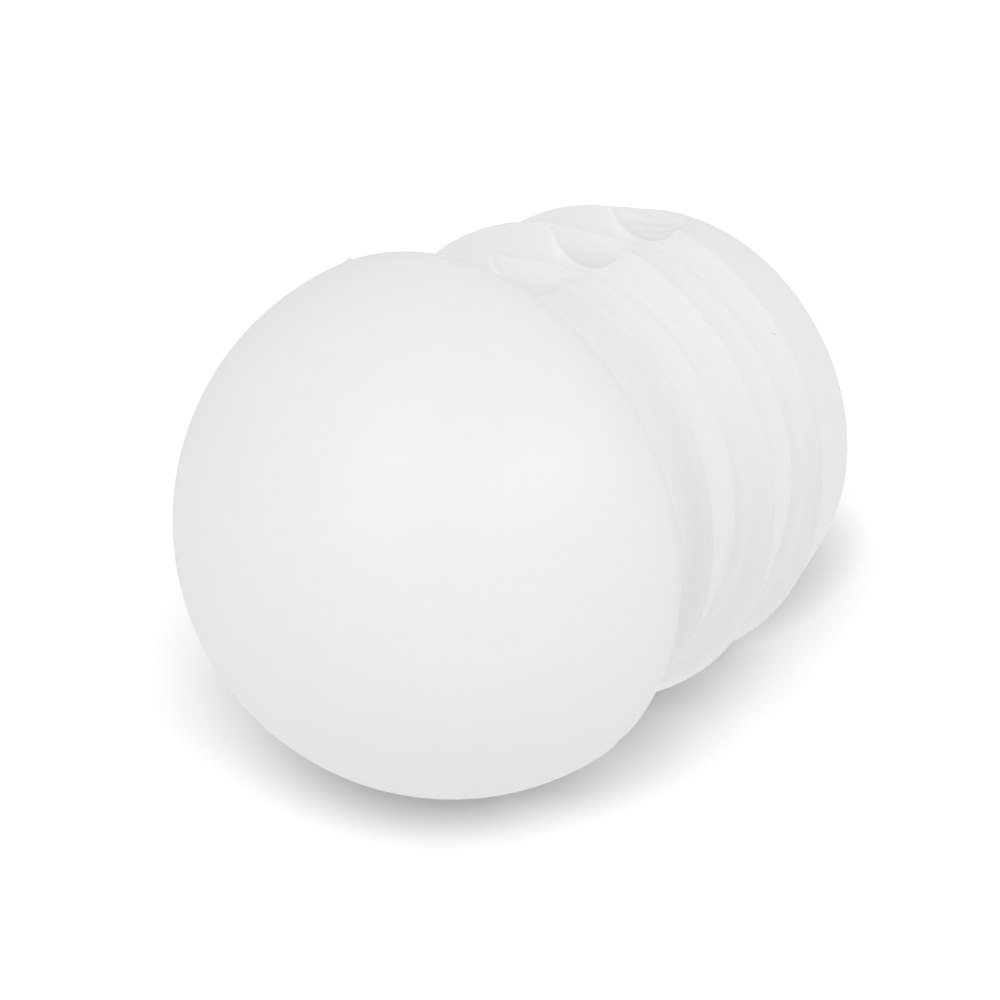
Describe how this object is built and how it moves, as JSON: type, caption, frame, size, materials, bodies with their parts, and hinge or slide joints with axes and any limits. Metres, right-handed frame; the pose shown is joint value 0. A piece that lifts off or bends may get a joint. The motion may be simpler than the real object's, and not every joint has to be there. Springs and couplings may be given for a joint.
{
  "type": "ball-top stopper",
  "caption": "Half-ball plastic stopper with a barbed, fluted round shank that pushes into a tube's open end and closes it with a smooth dome.",
  "frame": {"origin": "centre of the flat inner end that the stopper stands on", "axes": "+Z along the axis, from the inner end to the top of the dome; the flute faces -Y"},
  "size_m": [0.02, 0.02, 0.0242],
  "materials": {
    "white_plastic": "satin moulded polyethylene, white, slightly translucent"
  },
  "bodies": {
    "root": {"stopper": "white_plastic"}
  },
  "joints": []
}
